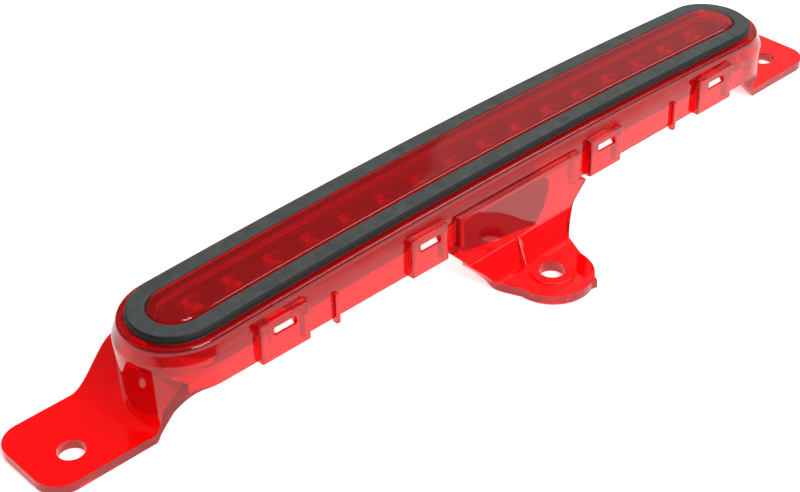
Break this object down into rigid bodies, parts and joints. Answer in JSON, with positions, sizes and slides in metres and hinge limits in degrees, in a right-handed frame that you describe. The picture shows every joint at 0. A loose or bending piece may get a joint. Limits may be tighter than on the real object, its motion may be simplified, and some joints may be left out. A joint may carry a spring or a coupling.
{
  "type": "high-mount brake lamp",
  "caption": "Slim crowned red brake lamp with a foam-ringed window, end ears and a middle bolt tab, a row of LEDs inside and a plug socket behind.",
  "frame": {"origin": "middle of the line between the two ear holes, on the plane that the ears seat on", "axes": "+X along the lamp, +Z from the seat towards the light, -Y towards the middle tab"},
  "size_m": [0.327, 0.067, 0.0359],
  "materials": {
    "red_lens": "transparent red moulded acrylic, polished",
    "black_foam": "closed-cell foam, matt",
    "tape": "acrylic adhesive tape",
    "bright_metallised": "vacuum metallised plastic",
    "board_laminate": "green solder mask",
    "led_epoxy": "red tinted clear epoxy",
    "tinned_metal": "tinned copper",
    "solder": "satin solder",
    "dark_component": "moulded epoxy",
    "ceramic_component": "fired ceramic",
    "zinc_steel": "zinc plated",
    "white_cover": "white moulded ABS",
    "grey_foam": "foam cord, matt",
    "dark_nylon": "moulded nylon, satin",
    "natural_nylon": "moulded nylon",
    "orange_silicone": "silicone rubber",
    "tinned_brass": "stamped, tinned",
    "vent_film": "white breathable membrane"
  },
  "bodies": {
    "root": {"lens_housing": "red_lens", "foam_seal": "black_foam", "seal_tape": "tape", "reflector": "bright_metallised", "circuit_board": "board_laminate", "led_packages": "led_epoxy", "led_legs": "tinned_metal", "solder_joints": "solder", "resistors": "dark_component", "polarity_diode": "dark_component", "filter_capacitors": "ceramic_component", "current_regulator": "dark_component", "board_screws": "zinc_steel", "rear_cover": "white_cover", "cover_seal": "grey_foam", "connector_shell": "dark_nylon", "terminal_spacer": "natural_nylon", "terminal_ring": "orange_silicone", "connector_terminals": "tinned_brass", "vent_membrane": "vent_film"}
  },
  "joints": []
}
